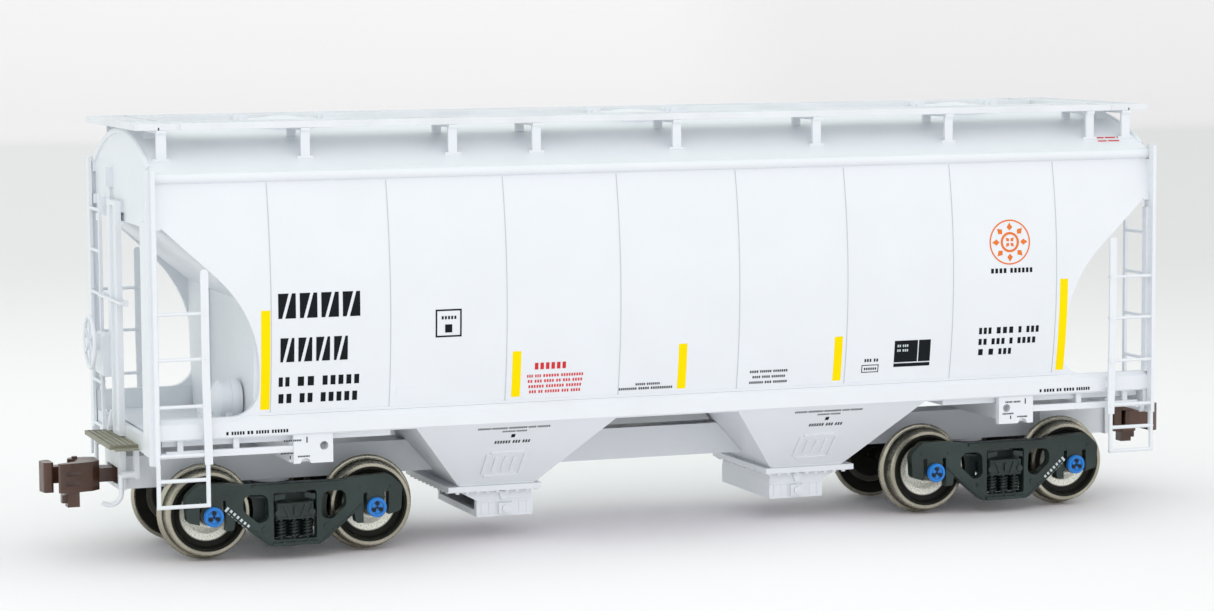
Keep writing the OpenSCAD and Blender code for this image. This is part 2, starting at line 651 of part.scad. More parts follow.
module truck_bolster() color(truck_green) difference() {
    union() {
        block([-2.3, -frame_out + 0.1, 5], [2.3, frame_out - 0.1, 7]);
        block([-2.3, -9.9, 5.4], [2.3, 9.9, 7.9]);
        rod_z(2.5, 7.9, 8.2, 0, 0);
        // Wedge heads beside the bolster
        for (s = [-1, 1], t = [-1, 1])
            rod_y(0.4, t * (frame_out - 0.2) - 0.3, t * (frame_out - 0.2) + 0.3, s * 2.1, 5.8);
    }
    rod_z(0.9, 4, 9, 0, 0);
}

// A coil spring's envelope, ribbed once per turn
spring_turns = 5;
module spring(r, z0, z1) {
    pitch = (z1 - z0) / spring_turns;
    ribs = [for (i = [0:spring_turns - 1]) each [
        [r - 0.2, z0 + pitch * i], [r, z0 + pitch * (i + 0.25)], [r, z0 + pitch * (i + 0.75)]]];
    rotate_extrude() polygon(concat([[0, z0]], ribs, [[r - 0.2, z1], [0, z1]]));
}
module springs() color(truck_green) both_sides() for (i = [-1, 0, 1])
    translate([i * 1.65, (frame_in + frame_out) / 2, 0]) spring(0.68, 2.55, 5);

module brake_beams() color(truck_green) both_ways() {
    block([2.3, -9.8, 6.5], [3.1, -8.9, 7.4]);
    block([2.3, 8.9, 6.5], [3.1, 9.8, 7.4]);
    block([3.1, -9.8, 4.6], [3.8, 9.8, 5.4]);
    both_sides() difference() {
        block([3.1, 8.1, 4.3], [5, 9.8, 7.4]);
        rod_y(tread_d / 2 + 0.35, 7, 11, axle_half, axle_z);
    }
}

// Wheels with coned treads pressed on a turned axle
wheel_w = 2.8;
back = back_to_back / 2;
wheel_profile = concat(
    [[0.9, back + 0.3], [2.2, back + 0.3], [3.9, back + 0.5], [4.1, back + 0.05]],
    arc([tread_d / 2 + flange_h - 0.35, back + 0.35], 0.35, -90, 90, 6),
    [[tread_d / 2 + 0.05, back + 0.85], [tread_d / 2 - 0.05, back + wheel_w - 0.15],
     [tread_d / 2 - 0.2, back + wheel_w], [4.35, back + wheel_w], [4.1, back + wheel_w - 0.75],
     [2.6, back + wheel_w - 1.1], [1.9, back + wheel_w - 0.6], [1.7, back + wheel_w - 0.1],
     [0.9, back + wheel_w - 0.1]]);

module wheelset() color(nickel) translate([0, 0, axle_z]) rotate([-90, 0, 0]) {
    for (s = [0, 1]) mirror([0, 0, s]) rotate_extrude($fn = 96) polygon(wheel_profile);
    rotate_extrude() polygon([
        [0, -frame_out - 0.15], [journal_r, -frame_out - 0.15],
        [journal_r, -frame_in + 0.4], [0.9, -frame_in + 0.7],
        [0.9, -back], [0.7, -3], [0.7, 3], [0.9, back],
        [0.9, frame_in - 0.7], [journal_r, frame_in - 0.4],
        [journal_r, frame_out + 0.15], [0, frame_out + 0.15]]);
}

module caps() color([0.12, 0.51, 0.88]) translate([0, 0, axle_z]) both_sides()
    translate([0, frame_out + 0.15, 0]) rotate([-90, 0, 0]) {
        cylinder(r = 1.22, h = 0.35);
        translate([0, 0, 0.35]) difference() {
            cylinder(r = 1.1, h = 0.15);
            translate([0, 0, -1]) cylinder(r = 0.85, h = 2);
        }
        for (a = [90, 210, 330]) rotate([0, 0, a]) translate([0.5, 0, 0.35]) cylinder(r = 0.24, h = 0.12);
    }

// ---- Every node ----

place(1, -1) side_sheet();  // side_sheet_near
side_sheet();  // side_sheet_far
roof_sheet();
place(-1) end_wall();  // end_wall_b
end_wall();  // end_wall_a
place(-1) slope_sheet();  // slope_sheet_b
slope_sheet();  // slope_sheet_a
centre_ridge();
place(1, -1) side_sill();  // side_sill_near
side_sill();  // side_sill_far
centre_sill();
ballast();
place(-1) bolster_web();  // bolster_web_b
bolster_web();  // bolster_web_a
place(-1) hopper();  // hopper_b
hopper();  // hopper_a
place(-1) outlet();  // outlet_b
outlet();  // outlet_a
place(-1) stub_sill();  // stub_sill_b
stub_sill();  // stub_sill_a
place(-1) end_frame();  // end_frame_b
end_frame();  // end_frame_a
place(-1, -1) corner_ladder(false);  // ladder_b_near
place(-1, 1) corner_ladder(true);  // ladder_b_far
place(1, -1) corner_ladder(true);  // ladder_a_near
corner_ladder(false);  // ladder_a_far
place(1, -1) walk();  // walk_near
walk();  // walk_far
place(-1) end_walk();  // end_walk_b
end_walk();  // end_walk_a
walk_brackets();
hatch_lids();
brake_stand();
brake_platform();
brake_wheel();
air_gear();
end_fittings();
rotate([0, 0, 180]) coupler();  // coupler_b
coupler();  // coupler_a
rotate([0, 0, 180]) knuckle();  // knuckle_b
knuckle();  // knuckle_a
translate([-truck_x, 0, 0]) place(1, -1) side_frame();  // side_frame_b_near
translate([-truck_x, 0, 0]) side_frame();  // side_frame_b_far
translate([truck_x, 0, 0]) place(1, -1) side_frame();  // side_frame_a_near
translate([truck_x, 0, 0]) side_frame();  // side_frame_a_far
translate([-truck_x, 0, 0]) truck_bolster();  // truck_bolster_b
translate([truck_x, 0, 0]) truck_bolster();  // truck_bolster_a
translate([-truck_x, 0, 0]) springs();  // springs_b
translate([truck_x, 0, 0]) springs();  // springs_a
translate([-truck_x, 0, 0]) brake_beams();  // brake_beams_b
translate([truck_x, 0, 0]) brake_beams();  // brake_beams_a
translate([-truck_x - axle_half, 0, 0]) wheelset();  // wheelset_b1
translate([-truck_x + axle_half, 0, 0]) wheelset();  // wheelset_b2
translate([truck_x - axle_half, 0, 0]) wheelset();  // wheelset_a1
translate([truck_x + axle_half, 0, 0]) wheelset();  // wheelset_a2
translate([-truck_x - axle_half, 0, 0]) caps();  // caps_b1
translate([-truck_x + axle_half, 0, 0]) caps();  // caps_b2
translate([truck_x - axle_half, 0, 0]) caps();  // caps_a1
translate([truck_x + axle_half, 0, 0]) caps();  // caps_a2
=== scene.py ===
"""HO scale covered hopper car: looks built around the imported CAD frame.

Lengths in this script are millimetres until a piece is made, when they become metres.
"""

import math

import bpy
from mathutils import Matrix, Vector


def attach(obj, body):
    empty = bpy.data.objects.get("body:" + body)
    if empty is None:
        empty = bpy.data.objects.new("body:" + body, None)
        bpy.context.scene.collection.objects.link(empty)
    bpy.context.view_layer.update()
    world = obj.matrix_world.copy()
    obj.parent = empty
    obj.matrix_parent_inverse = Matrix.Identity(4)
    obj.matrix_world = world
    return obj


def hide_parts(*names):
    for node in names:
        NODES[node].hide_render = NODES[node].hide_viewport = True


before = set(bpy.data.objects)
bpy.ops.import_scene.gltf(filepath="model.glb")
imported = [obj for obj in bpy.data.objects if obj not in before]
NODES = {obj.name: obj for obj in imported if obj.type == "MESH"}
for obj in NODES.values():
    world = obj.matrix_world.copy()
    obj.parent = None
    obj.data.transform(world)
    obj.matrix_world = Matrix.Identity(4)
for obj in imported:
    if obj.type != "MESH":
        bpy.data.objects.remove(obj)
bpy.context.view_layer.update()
MM = 0.001


# ---------------------------------------------------------------- camera
def make_camera():
    """Places the camera, in mm and radians, where its view matches the car's."""
    yaw, pitch, roll = 0.34794, 0.09503, -0.00666
    forward = Vector((math.sin(yaw) * math.cos(pitch), math.cos(yaw) * math.cos(pitch), -math.sin(pitch)))
    level = Vector((math.cos(yaw), -math.sin(yaw), 0.0))
    rise = level.cross(forward)
    right = math.cos(roll) * level + math.sin(roll) * rise
    up = -math.sin(roll) * level + math.cos(roll) * rise
    data = bpy.data.cameras.new("camera")
    data.sensor_width = 36.0
    data.lens = 98.643
    data.clip_start = 0.02
    data.clip_end = 20.0
    cam = bpy.data.objects.new("camera", data)
    bpy.context.scene.collection.objects.link(cam)
    turn = Matrix((right, up, -forward)).transposed().to_4x4()
    cam.matrix_world = Matrix.Translation(Vector((-148.88, -402.13, 69.05)) * MM) @ turn
    bpy.context.scene.camera = cam


make_camera()


# ---------------------------------------------------------------- materials
class Nodes:
    """A small builder for one material's node tree."""

    def __init__(self, name):
        self.mat = bpy.data.materials.new(name)
        self.mat.use_nodes = True
        self.tree = self.mat.node_tree
        self.bsdf = self.tree.nodes["Principled BSDF"]
        self.coord = self.add("ShaderNodeTexCoord").outputs["Object"]

    def add(self, kind, **values):
        node = self.tree.nodes.new(kind)
        for key, value in values.items():
            setattr(node, key, value)
        return node

    def link(self, a, b):
        self.tree.links.new(a, b)

    def put(self, socket, value):
        if hasattr(value, "is_output"):
            self.link(value, socket)
        else:
            socket.default_value = value

    def noise(self, scale, detail=3.0, stretch=None):
        source = self.coord
        if stretch:
            m = self.add("ShaderNodeMapping")
            m.inputs["Scale"].default_value = stretch
            self.link(source, m.inputs["Vector"])
            source = m.outputs["Vector"]
        n = self.add("ShaderNodeTexNoise")
        n.inputs["Scale"].default_value = scale
        n.inputs["Detail"].default_value = detail
        self.link(source, n.inputs["Vector"])
        return n.outputs["Fac"]

    def fit(self, value, a, b, c, d, smooth=False):
        n = self.add("ShaderNodeMapRange")
        if smooth:
            n.interpolation_type = "SMOOTHSTEP"
        self.put(n.inputs["Value"], value)
        for key, v in (("From Min", a), ("From Max", b), ("To Min", c), ("To Max", d)):
            n.inputs[key].default_value = v
        return n.outputs["Result"]

    def math(self, operation, a, b=0.0):
        n = self.add("ShaderNodeMath", operation=operation)
        self.put(n.inputs[0], a)
        self.put(n.inputs[1], b)
        return n.outputs[0]

    def band(self, value, rise, fall):
        """1 between two ramps, 0 outside them."""
        return self.math("MULTIPLY", self.fit(value, *rise, 0.0, 1.0), self.fit(value, *fall, 1.0, 0.0))

    def mix(self, factor, a, b):
        n = self.add("ShaderNodeMix", data_type="RGBA")
        self.put(n.inputs[0], factor)
        self.put(n.inputs[6], a if hasattr(a, "is_output") else (*a, 1.0))
        self.put(n.inputs[7], b if hasattr(b, "is_output") else (*b, 1.0))
        return n.outputs[2]

    def bump(self, height, distance, strength=1.0):
        n = self.add("ShaderNodeBump")
        n.inputs["Strength"].default_value = strength
        n.inputs["Distance"].default_value = distance
        self.link(height, n.inputs["Height"])
        self.link(n.outputs["Normal"], self.bsdf.inputs["Normal"])

    def set(self, **values):
        for key, value in values.items():
            self.put(self.bsdf.inputs[key.replace("_", " ")], value)


def paint(name, colour, rough=0.36, mottle=0.03, grain=0.000004, coat=0.0, spread=0.06, shine=0.5):
    """Sprayed paint or moulded plastic: faint mottling, uneven gloss and a fine skin."""
    n = Nodes(name)
    cloud = n.noise(160.0, 4.0)
    dark = tuple(c * (1.0 - mottle) for c in colour)
    light = tuple(min(1.0, c * (1.0 + mottle * 0.6)) for c in colour)
    n.set(Base_Color=n.mix(n.fit(cloud, 0.35, 0.65, 0.0, 1.0), dark, light))
    n.set(Roughness=n.fit(n.noise(700.0, 3.0), 0.3, 0.7, rough - spread, rough + spread))
    n.bump(n.noise(2600.0, 2.0), grain)
    n.set(Specular_IOR_Level=shine)
    if coat:
        n.set(Coat_Weight=coat, Coat_Roughness=0.18)
    return n.mat


WHITE = (0.80, 0.825, 0.865)
UNDERSIDE_SHADE = (0.70, 0.76, 0.76)


def body_material():
    """White body paint with painted shade: greyer and tealer towards the bottom."""
    n = Nodes("body_white")
    cloud = n.noise(120.0, 4.0)
    base = n.mix(n.fit(cloud, 0.35, 0.65, 0.0, 1.0), tuple(c * 0.98 for c in WHITE), WHITE)
    sep = n.add("ShaderNodeSeparateXYZ")
    n.link(n.coord, sep.inputs["Vector"])
    # Painted shade: below 16 mm the paint turns up to 12% towards a teal grey, as the shaded underside
    # looks
    low = n.fit(sep.outputs["Z"], 0.016, 0.004, 0.0, 0.12)
    n.set(Base_Color=n.mix(low, base, UNDERSIDE_SHADE))
    n.set(Roughness=n.fit(n.noise(900.0, 3.0), 0.3, 0.7, 0.30, 0.42))
    n.bump(n.noise(2200.0, 2.0), 0.000003)
    return n.mat


def wheel_material(name, x0):
    """Nickel-plated wheel turned in rings, with painted light: its recess, back and hub painted near black
    as shade, a dark ring of painted shade at the flange step, and its plate painted bright cream as a
    highlight.
    """
    n = Nodes(name)
    sep = n.add("ShaderNodeSeparateXYZ")
    n.link(n.coord, sep.inputs["Vector"])
    dx = n.math("SUBTRACT", sep.outputs["X"], x0 * MM)
    dz = n.math("SUBTRACT", sep.outputs["Z"], AXLE_Z * MM)
    r = n.math("SQRT", n.math("ADD", n.math("MULTIPLY", dx, dx), n.math("MULTIPLY", dz, dz)))
    rings = n.math("SINE", n.math("MULTIPLY", r, 52000.0))
    fine = n.noise(5200.0, 2.0)
    turned = n.math("ADD", n.math("MULTIPLY", rings, 0.5), n.math("MULTIPLY", fine, 0.3))
    cloud = n.fit(n.noise(260.0, 2.0), 0.35, 0.65, 0.0, 1.0)
    nickel = n.mix(cloud, (0.36, 0.335, 0.265), (0.48, 0.45, 0.37))
    # Painted shade: a dark ring at the step between tread and flange
    step_shade = n.band(r, (0.00520, 0.00526), (0.00534, 0.0054))
    nickel = n.mix(step_shade, nickel, (0.10, 0.10, 0.08))
    # Painted highlight: the plate inside the recess is painted bright cream and made less metallic
    plate = n.fit(r, 0.0033, 0.0035, 1.0, 0.0)
    nickel = n.mix(plate, nickel, (0.80, 0.80, 0.72))
    out_y = n.math("ABSOLUTE", sep.outputs["Y"])
    front = n.fit(out_y, 0.0082, 0.0085, 0.0, 1.0)
    # Painted shade: the recess on the front face, the back of the wheel and the hub go near black
    recess_shade = n.band(r, (0.0033, 0.0035), (0.00462, 0.00474))
    back = n.math("MULTIPLY", n.fit(out_y, 0.0076, 0.0079, 1.0, 0.0), n.fit(r, 0.0053, 0.0055, 1.0, 0.0))
    hub_shade = n.fit(r, 0.0012, 0.0016, 1.0, 0.0)
    dark = n.math("MAXIMUM", n.math("MAXIMUM", n.math("MULTIPLY", recess_shade, front), back), hub_shade)
    black = n.mix(n.fit(rings, 0.6, 0.95, 0.0, 1.0), (0.004, 0.005, 0.004), (0.030, 0.030, 0.020))
    n.set(Base_Color=n.mix(dark, nickel, black))
    n.set(Metallic=n.math("MULTIPLY", n.fit(dark, 0.0, 1.0, 1.0, 0.0), n.fit(plate, 0.0, 1.0, 1.0, 0.35)))
    n.set(Roughness=n.math("MAXIMUM", n.fit(fine, 0.3, 0.7, 0.24, 0.34), n.math("MULTIPLY", dark, 0.5)))
    n.set(Specular_IOR_Level=0.15)
    n.bump(turned, 0.000002, 0.4)
    return n.mat


def clear_floor():
    """White paper with painted shade: a little greyer in the distance and to the right."""
    n = Nodes("studio_paper")
    sep = n.add("ShaderNodeSeparateXYZ")
    n.link(n.coord, sep.inputs["Vector"])
    mottle = n.fit(n.noise(1.5, 2.0), 0.3, 0.7, 0.0, 1.0)
    near = n.mix(mottle, (0.945, 0.915, 0.935), (0.96, 0.93, 0.95))
    # Painted shade: greyer from 5 to 45 cm behind the car, lighter again up the sweep
    distance_shade = n.mix(n.fit(sep.outputs["Y"], 0.05, 0.45, 0.0, 1.0, True), near, (0.80, 0.765, 0.785))
    rise = n.mix(n.fit(sep.outputs["Y"], 1.0, 2.2, 0.0, 1.0, True), distance_shade, (0.89, 0.85, 0.87))
    # Painted shade: greyer to the right of the car
    right = n.fit(sep.outputs["X"], 0.02, 0.14, 0.0, 0.12, True)
    n.set(Base_Color=n.mix(right, rise, (0.40, 0.38, 0.39)))
    n.set(Roughness=n.fit(n.noise(60.0, 2.0), 0.3, 0.7, 0.75, 0.9), Specular_IOR_Level=0.2)
    return n.mat


AXLE_Z = 5.885
TRUCK_X = 48.06
HALF_BASE = 10.205
AXLES = {"b1": -TRUCK_X - HALF_BASE, "b2": -TRUCK_X + HALF_BASE,
         "a1": TRUCK_X - HALF_BASE, "a2": TRUCK_X + HALF_BASE}

MAT = {
    "body": body_material(),
    "seam": paint("seam_shadow", (0.52, 0.58, 0.60), 0.5),
    "steel": paint("weight_steel", (0.42, 0.43, 0.44), 0.45, 0.12),
    "truck": paint("truck_plastic", (0.019, 0.034, 0.030), 0.40, 0.3, 0.000014, 0.0, 0.08, 0.42),
    # A darker copy of the truck plastic: painted shade on the springs inside the side frame
    "spring": paint("spring_plastic_shaded", (0.016, 0.026, 0.023), 0.38, 0.2, 0.00001, shine=0.5),
    "coupler": paint("coupler_brown", (0.075, 0.030, 0.017), 0.34, 0.3, 0.000008, 0.2),
    "blue": paint("cap_blue", (0.004, 0.20, 0.64), 0.32, 0.08, 0.000004, 0.3, shine=0.4),
    "bolt": paint("bolt_dark", (0.008, 0.014, 0.02), 0.35, 0.2, shine=0.3),
    "grate": paint("walk_white", (0.78, 0.80, 0.83), 0.42, 0.05),
    "platform": paint("etched_platform", (0.24, 0.23, 0.165), 0.42, 0.15, 0.00001),
    "yellow": paint("reflector_yellow", (1.0, 0.74, 0.0), 0.35, 0.02, 0.000004, 0.0, 0.06, 0.05),
    "black": paint("marking_black", (0.008, 0.010, 0.012), 0.5, 0.1, shine=0.1),
    "pale": paint("marking_pale", (0.62, 0.68, 0.70), 0.5, 0.04, shine=0.2),
    "red": paint("marking_red", (0.62, 0.030, 0.035), 0.45, 0.06, shine=0.15),
    "orange": paint("marking_orange", (0.82, 0.19, 0.03), 0.45, 0.06, shine=0.15),
    # Painted shade: the near-black sheet set behind the truck springs
    "shade_sheet": paint("painted_shade_dark", (0.008, 0.014, 0.013), 0.6, 0.1, shine=0.2),
}
for key, x in AXLES.items():
    MAT["wheel_" + key] = wheel_material("nickel_wheel_" + key, x)


def node_material(name):
    """The material of a CAD node, by how its name starts."""
    if name.startswith("wheelset_"):
        return MAT["wheel_" + name.split("_")[1]]
    for start, key in (("side_frame", "truck"), ("truck_bolster", "truck"), ("brake_beams", "truck"),
                       ("springs", "spring"), ("coupler_", "coupler"), ("knuckle_", "coupler"),
                       ("caps_", "blue"), ("ballast", "steel"), ("brake_platform", "platform"),
                       ("walk_near", "grate"), ("walk_far", "grate"), ("end_walk", "grate")):
        if name.startswith(start):
            return MAT[key]
    return MAT["body"]


for name, obj in NODES.items():
    material = node_material(name)
    if not obj.material_slots:
        obj.data.materials.append(material)
    for each in obj.material_slots:
        each.material = material


# ---------------------------------------------------------------- shapes
def turns(count):
    """Evenly spaced angles round a circle."""
    return [2 * math.pi * k / count for k in range(count)]


class Shape:
    """Collects closed solids, in mm, into one mesh."""

    def __init__(self):
        self.verts = []
        self.faces = []

    def add(self, verts, faces):
        base = len(self.verts)
        self.verts += [tuple(v) for v in verts]
        self.faces += [tuple(base + i for i in f) for f in faces]

    def box(self, a, b):
        (x0, y0, z0), (x1, y1, z1) = [tuple(map(f, zip(a, b))) for f in (min, max)]
        v = [(x, y, z) for x in (x0, x1) for y in (y0, y1) for z in (z0, z1)]
        self.add(v, [(0, 1, 3, 2), (4, 6, 7, 5), (0, 4, 5, 1), (2, 3, 7, 6), (0, 2, 6, 4), (1, 5, 7, 3)])

    def prism(self, outline, lift):
        """outline is a counter-clockwise loop of 3-D points, lift the vector that makes it solid."""
        n = len(outline)
        top = [tuple(Vector(p) + Vector(lift)) for p in outline]
        self.add(list(outline) + top, [tuple(range(n - 1, -1, -1)), tuple(range(n, 2 * n))]
                 + [(i, (i + 1) % n, n + (i + 1) % n, n + i) for i in range(n)])

    def tube(self, points, radius, sides):
        """A round rod along points, capped at both ends."""
        pts = [Vector(p) for p in points]
        n = len(pts)
        rings = []
        normal = None
        for i, p in enumerate(pts):
            t = (pts[min(i + 1, n - 1)] - pts[max(i - 1, 0)]).normalized()
            if normal is None:
                normal = t.orthogonal().normalized()
            normal = (normal - normal.dot(t) * t).normalized()
            side = t.cross(normal)
            rings.append([tuple(p + radius * (math.cos(a) * normal + math.sin(a) * side))
                          for a in turns(sides)])
        faces = []
        for i in range(n - 1):
            for k in range(sides):
                j = (k + 1) % sides
                m = i + 1
                faces.append((i * sides + k, i * sides + j, m * sides + j, m * sides + k))
        faces.append(tuple(range(sides - 1, -1, -1)))
        faces.append(tuple((n - 1) * sides + k for k in range(sides)))
        self.add([v for ring in rings for v in ring], faces)

    def disc(self, centre, axis, radius, depth, sides):
        """A short cylinder along axis from centre."""
        c = Vector(centre)
        t = Vector(axis).normalized()
        u = t.orthogonal().normalized()
        w = t.cross(u)
        rim = [tuple(c + radius * (math.cos(a) * u + math.sin(a) * w)) for a in turns(sides)]
        self.prism(rim, tuple(t * depth))

    def mirrored(self):
        """A copy flipped in X, its faces turned to suit."""
        out = Shape()
        out.verts = [(-x, y, z) for x, y, z in self.verts]
        out.faces = [tuple(reversed(f)) for f in self.faces]
        return out

    def piece(self, name, mat, body="carbody", slot=None, smooth=False, bevel=0.0, replaces=()):
        mesh = bpy.data.meshes.new(name)
        mesh.from_pydata([(x * MM, y * MM, z * MM) for x, y, z in self.verts], [], self.faces)
        mesh.validate()
        mesh.update()
        obj = bpy.data.objects.new(name, mesh)
        bpy.context.scene.collection.objects.link(obj)
        mesh.materials.append(MAT[mat])
        if smooth:
            for p in mesh.polygons:
                p.use_smooth = True
            mesh.set_sharp_from_angle(angle=math.radians(38))
        if bevel:
            mod = obj.modifiers.new("soft_edges", "BEVEL")
            mod.width = bevel * MM
            mod.segments = 2
            mod.limit_method = "ANGLE"
        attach(obj, body)
        if replaces:
            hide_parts(*replaces)
        return obj


# ---------------------------------------------------------------- the curved side
# Height and half width at the waist and the eave; the roof's crown and where it springs from
WAIST_Z, WAIST, EAVE_Z, EAVE = 32.1, 18.55, 46.4, 17.0
SIDE_R = ((EAVE_Z - WAIST_Z) ** 2 + (WAIST - EAVE) ** 2) / (2 * (WAIST - EAVE))
SIDE_CY = WAIST - SIDE_R
ROOF_Z, SPRING_Z, SPRING_Y = 52.4, 47.8, 16.8
ROOF_R = (SPRING_Y ** 2 + (ROOF_Z - SPRING_Z) ** 2) / (2 * (ROOF_Z - SPRING_Z))
ROOF_CZ = ROOF_Z - ROOF_R


def side_y(z):
    """Half width of the curved side at height z."""
    return SIDE_CY + math.sqrt(SIDE_R ** 2 - (z - WAIST_Z) ** 2)


def roof_z(y):
    """Height of the roof at y."""
    return ROOF_CZ + math.sqrt(ROOF_R ** 2 - y * y)


def side_patch(shape, s, x0, x1, z0, z1, proud=0.025, sink=0.03):
    """A thin strip laid on the curved side s (-1 near, 1 far). On the far side X runs the other way."""
    if s > 0:
        x0, x1 = -x1, -x0
    steps = max(1, int((z1 - z0) / 1.2))
    zs = [z0 + (z1 - z0) * i / steps for i in range(steps + 1)]
    v = []
    for z in zs:
        for x in (x0, x1):
            for d in (proud, -sink):
                v.append((x, s * (side_y(z) + d), z))
    f = []
    for i in range(steps):
        a = 4 * i
        f += [(a, a + 4, a + 6, a + 2), (a + 1, a + 3, a + 7, a + 5)]
        f += [(a, a + 1, a + 5, a + 4), (a + 2, a + 6, a + 7, a + 3)]
    e = 4 * steps
    f += [(0, 2, 3, 1), (e, e + 1, e + 3, e + 2)]
    if s < 0:
        f = [tuple(reversed(q)) for q in f]
    shape.add(v, f)


def dashes(x0, x1, groups, gap=0.55):
    """Splits x0..x1 into word lengths in proportion to groups."""
    free = (x1 - x0) - gap * (len(groups) - 1)
    total = sum(groups)
    x = x0
    out = []
    for g in groups:
        w = free * g / total
        out.append((x, x + w))
        x += w + gap
    return out


def greek(place, x0, x1, z0, z1, groups):
    """A line of plain blocks that stands in for lettering. place(x0, x1, z0, z1) lays each block."""
    gap = (z1 - z0) * 0.5
    for a, b in dashes(x0, x1, groups, gap):
        count = max(1, round((b - a) / ((z1 - z0) * 0.82)))
        pitch = (b - a) / count
        for i in range(count):
            xa = a + i * pitch + pitch * 0.16
            drop = (z1 - z0) * 0.06
            place(xa, xa + pitch * 0.62, z0 + drop, z1 - drop)


def block_word(shape, s, x0, x1, z0, z1, count):
    """Large plain blocks, each cut by one slanting slit, in place of big lettering."""
    pitch = (x1 - x0) / count
    lean = pitch * 0.16
    for i in range(count):
        a = x0 + i * pitch + 0.1
        b = x0 + (i + 1) * pitch - 0.4
        m = (a + b) / 2
        for k in range(3):
            c, d = [z0 + (z1 - z0) * (k + q) / 3 for q in (0, 1)]
            mc, md = [m + lean * (2 * (k + q) / 3 - 1) for q in (0, 1)]
            curved_quad(shape, s, [(a, c), (mc - 0.2, c), (md - 0.2, d), (a, d)])
            curved_quad(shape, s, [(mc + 0.2, c), (b, c), (b, d), (md + 0.2, d)])


SEAMS_X = [s * x for s in (-1, 1) for x in (7.92, 22.69, 37.45, 52.21)]


def markings(s):
    side = "near" if s < 0 else "far"

    def on(shape, proud=0.025):
        return lambda a, b, c, d: side_patch(shape, s, a, b, c, d, proud)

    def frame_of(ink, x0, x1, z0, z1, t):
        ink(x0, x1, z0, z0 + t)
        ink(x0, x1, z1 - t, z1)
        ink(x0, x0 + t, z0 + t, z1 - t)
        ink(x1 - t, x1, z0 + t, z1 - t)

    yellow = Shape()
    for x in (-52.9, 53.3):
        side_patch(yellow, s, x - 0.56, x + 0.56, 19.2, 31.2)
    for x in (-21.35, 0.45, 21.6):
        side_patch(yellow, s, x - 0.56, x + 0.56, 19.25, 24.95)
    yellow.piece(f"reflectors_{side}", "yellow", slot="body_paint")

    black = Shape()
    block_word(black, s, -51.45, -40.85, 30.15, 33.15, 4)
    block_word(black, s, -51.2, -42.4, 24.9, 27.8, 4)
    ink = on(black)
    greek(ink, -51.4, -41.1, 21.85, 23.15, (2, 3, 6))
    greek(ink, -51.4, -41.3, 19.8, 21.1, (2, 2, 5))
    frame_of(ink, -31.8, -28.5, 27.1, 30.5, 0.2)
    greek(ink, -31.1, -29.1, 29.25, 29.7, (1,))
    ink(-30.6, -29.7, 27.65, 28.65)
    greek(ink, -5.7, -2.4, 19.9, 20.22, (3, 4))
    greek(ink, -7.9, -0.7, 19.35, 19.7, (5, 3, 6))
    greek(ink, 9.6, 14.8, 20.75, 21.1, (3, 4, 5))
    greek(ink, 10.0, 14.5, 20.05, 20.4, (3, 3, 5))
    greek(ink, 9.6, 14.8, 19.35, 19.7, (4, 2, 4))
    greek(ink, 25.3, 27.3, 21.45, 21.9, (3, 2))
    frame_of(ink, 25.0, 27.35, 20.1, 21.1, 0.1)
    greek(ink, 25.3, 27.1, 20.4, 20.75, (4,))
    ink(29.45, 32.7, 21.25, 24.05)
    ink(32.85, 34.5, 21.25, 24.05)
    ink(29.45, 34.5, 20.65, 21.1)
    greek(ink, 42.7, 48.8, 32.2, 32.9, (5, 7))
    greek(ink, 41.2, 50.0, 24.35, 25.3, (3, 4, 1, 3))
    greek(ink, 41.2, 49.6, 22.95, 23.85, (2, 3, 1, 4))
    greek(ink, 41.2, 46.2, 21.6, 22.5, (2, 2, 4))
    black.piece(f"markings_black_{side}", "black", slot="body_paint")

    pale = Shape()
    for z in (23.2, 22.6):
        greek(on(pale, 0.05), 29.8, 31.4, z, z + 0.35, (2, 3))
    pale.piece(f"markings_pale_{side}", "pale", slot="body_paint")

    red = Shape()
    rink = on(red)
    greek(rink, -19.1, -14.8, 22.5, 23.45, (7,))
    for i, groups in enumerate(((2, 2, 5, 7), (2, 3, 4, 2, 3, 4), (6, 7, 6), (3, 2, 6, 3, 4))):
        z = 21.55 - 0.66 * i
        greek(rink, -20.0 + 0.12 * i, -12.6 - 0.1 * i, z, z + 0.4, groups)
    red.piece(f"markings_red_{side}", "red", slot="body_paint")

    # A plain ring of lozenges, nobody's mark
    orange = Shape()
    cx, cz = 45.5, 36.2

    def polar(corners):
        curved_quad(orange, s, [(cx + r * math.cos(q), cz + r * math.sin(q)) for r, q in corners])

    for ra, rb in ((2.72, 2.9), (1.0, 1.3)):
        for k in range(40):
            a0, a1 = 2 * math.pi * k / 40, 2 * math.pi * (k + 1) / 40
            polar([(ra, a0), (rb, a0), (rb, a1), (ra, a1)])
    for k in range(8):
        a = math.pi * k / 4
        polar([(1.5, a), (1.95, a - 0.2), (2.5, a), (1.95, a + 0.2)])
    for k in range(4):
        a = math.pi * k / 2 + math.pi / 4
        polar([(0.15, a), (0.5, a - 0.5), (0.8, a), (0.5, a + 0.5)])
    orange.piece(f"emblem_{side}", "orange", slot="body_paint")

    # Weld seams between the side panels
    seams = Shape()
    for x in SEAMS_X:
        side_patch(seams, s, x - 0.06, x + 0.06, 18.55, 46.3, 0.03, 0.05)
    seams.piece(f"panel_seams_{side}", "seam", slot="body_paint")


def curved_quad(shape, s, corners):
    """A thin flat patch on side s with corners (x, z)."""
    proud = 0.03
    pts = [(-x if s > 0 else x, z) for x, z in corners]
    loop = [(x, s * (side_y(z) + proud), z) for x, z in pts]
    lift = (0, -s * 0.06, 0)
    area = sum(a[0] * b[1] - b[0] * a[1] for a, b in zip(pts, pts[1:] + pts[:1]))
    # The prism's first loop faces away from lift
    if (area > 0) == (s > 0):
        loop.reverse()
    shape.prism(loop, lift)


for side in (-1, 1):
    markings(side)


